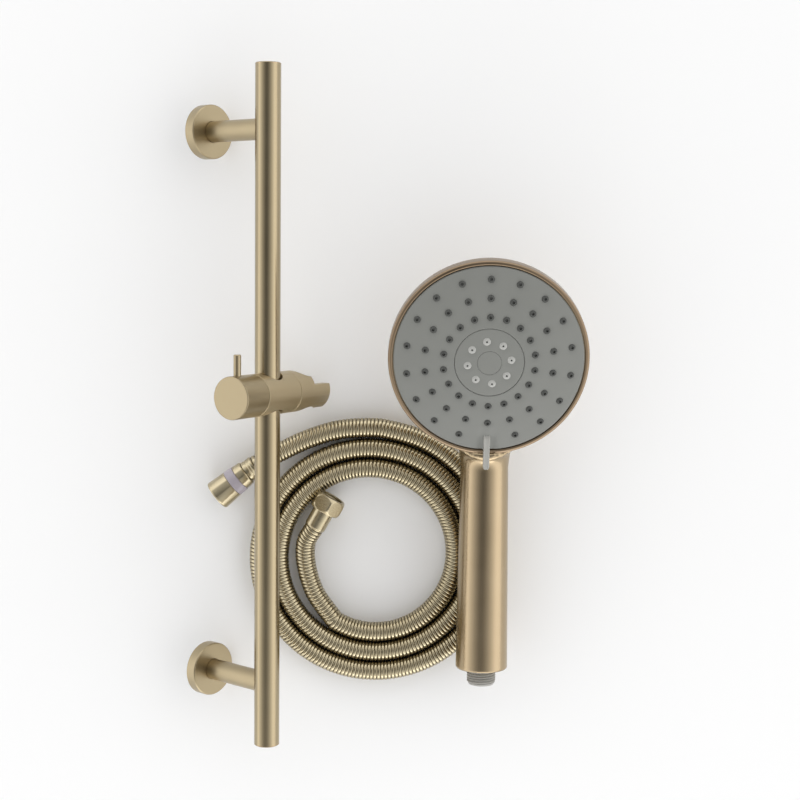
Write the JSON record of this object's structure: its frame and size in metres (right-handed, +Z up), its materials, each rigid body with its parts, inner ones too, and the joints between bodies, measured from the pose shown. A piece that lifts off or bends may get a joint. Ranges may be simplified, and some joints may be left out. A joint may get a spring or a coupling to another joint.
{
  "type": "hand shower slide rail kit",
  "caption": "Slide rail with wall posts, locking slider and tilting holder, round hand shower and coiled metal hose, laid out flat.",
  "frame": {"origin": "middle of the rail and hand shower in plan, at the level of the surface they lie on", "axes": "+Z up from the surface, +Y along the rail towards its upper end, +X from the rail to the hand shower"},
  "size_m": [0.2856, 0.482, 0.0985],
  "materials": {
    "satin_bronze_brass": "satin brushed bronze plate",
    "hose_end_brass": "satin pale gold plate",
    "rail_bronze": "satin brushed bronze plate",
    "hose_metal": "pale gold double-lock metal hose",
    "bronze_plastic": "bronze plated plastic",
    "inner_steel": "plain",
    "grey_plastic": "fine matt",
    "light_grey_plastic": "satin",
    "liner_plastic": "translucent grey",
    "band_plastic": "translucent lilac white",
    "nozzle_rubber": "soft matt"
  },
  "bodies": {
    "hose": {"hose_coil": "hose_metal", "hose_lead": "hose_metal", "hose_tail": "hose_metal", "outer_ferrule": "hose_end_brass", "inner_ferrule": "hose_end_brass"},
    "cone_nut": {"cone_nut": "hose_end_brass", "cone_nut_band": "band_plastic", "cone_washer": "nozzle_rubber"},
    "hex_nut": {"hex_nut": "hose_end_brass", "hex_washer": "nozzle_rubber"},
    "rail": {"rail_tube": "rail_bronze", "rail_cap_top": "bronze_plastic", "rail_cap_bottom": "bronze_plastic", "upper_insert": "inner_steel", "lower_insert": "inner_steel", "upper_stud": "inner_steel", "lower_stud": "inner_steel", "upper_post": "satin_bronze_brass", "lower_post": "satin_bronze_brass", "upper_bracket": "inner_steel", "lower_bracket": "inner_steel", "upper_grub_screw": "inner_steel", "lower_grub_screw": "inner_steel"},
    "upper_cover": {"upper_cover": "satin_bronze_brass", "upper_cover_ring": "nozzle_rubber"},
    "lower_cover": {"lower_cover": "satin_bronze_brass", "lower_cover_ring": "nozzle_rubber"},
    "slide": {"rail_liner": "liner_plastic"},
    "slider": {"slider_body": "satin_bronze_brass", "holder_bolt": "inner_steel", "holder_washer": "inner_steel", "holder_ring": "nozzle_rubber"},
    "holder": {"holder": "satin_bronze_brass"},
    "knob": {"lock_knob": "satin_bronze_brass", "lock_spindle": "inner_steel", "lock_lever": "satin_bronze_brass"},
    "brake": {"brake_shoe": "liner_plastic"},
    "handset": {"handset_shell": "bronze_plastic", "inlet_connector": "grey_plastic", "inlet_o_ring": "nozzle_rubber", "filter_washer": "nozzle_rubber", "water_tube": "grey_plastic", "head_chassis": "grey_plastic", "head_seal": "nozzle_rubber", "centre_insert": "grey_plastic", "centre_nozzles": "light_grey_plastic", "centre_screw": "inner_steel", "centre_cap": "grey_plastic"},
    "spray_face": {"spray_face": "grey_plastic", "nozzles_outer": "nozzle_rubber", "nozzles_middle": "nozzle_rubber", "nozzles_inner": "nozzle_rubber", "mode_tab": "light_grey_plastic", "diverter_disc": "grey_plastic"}
  },
  "joints": [
    {"name": "rail_lift", "type": "slide", "parent": "hose", "child": "rail", "axis": [0, 0, 1], "range_m": [0, 0.25]},
    {"name": "handset_lift", "type": "slide", "parent": "hose", "child": "handset", "axis": [0, 0, 1], "range_m": [0, 0.25]},
    {"name": "upper_cover_slide", "type": "slide", "parent": "rail", "child": "upper_cover", "axis": [0.766, 0, 0.6428], "range_m": [0, 0.035]},
    {"name": "lower_cover_slide", "type": "slide", "parent": "rail", "child": "lower_cover", "axis": [0.766, 0, 0.6428], "range_m": [0, 0.035]},
    {"name": "slider_slide", "type": "slide", "parent": "rail", "child": "slide", "axis": [0, 1, 0], "range_m": [-0.008, 0.145]},
    {"name": "slider_swivel", "type": "hinge", "parent": "slide", "child": "slider", "pos_m": [-0.08173, 0.0116, 0.0556], "axis": [0, 1, 0], "range_deg": [-150, 0]},
    {"name": "holder_tilt", "type": "hinge", "parent": "slider", "child": "holder", "pos_m": [-0.06132, 0.0116, 0.02295], "axis": [0.5299, 0, -0.848], "range_deg": [-60, 60]},
    {"name": "knob_turn", "type": "hinge", "parent": "slider", "child": "knob", "pos_m": [-0.0999, 0.0116, 0.08469], "axis": [0.5299, 0, -0.848], "range_deg": [0, 90]},
    {"name": "brake_slide", "type": "slide", "parent": "slider", "child": "brake", "axis": [0.5299, 0, -0.848], "range_m": [0, 0.0003]},
    {"name": "face_turn", "type": "hinge", "parent": "handset", "child": "spray_face", "pos_m": [0.07278, 0.0383, 0.07], "axis": [0, -0.225, 0.9744], "range_deg": [-25, 25]},
    {"name": "cone_nut_spin", "type": "hinge", "parent": "hose", "child": "cone_nut", "pos_m": [-0.1004, -0.0502, 0.0117], "axis": [-0.7771, -0.6293, 0], "continuous": true},
    {"name": "hex_nut_spin", "type": "hinge", "parent": "hose", "child": "hex_nut", "pos_m": [-0.0408, -0.073, 0.0127], "axis": [0.4848, 0.8746, 0], "continuous": true}
  ],
  "couplings": [
    {"joint": "brake_slide", "follows": "knob_turn", "m_per_rad": 0.00015915}
  ]
}
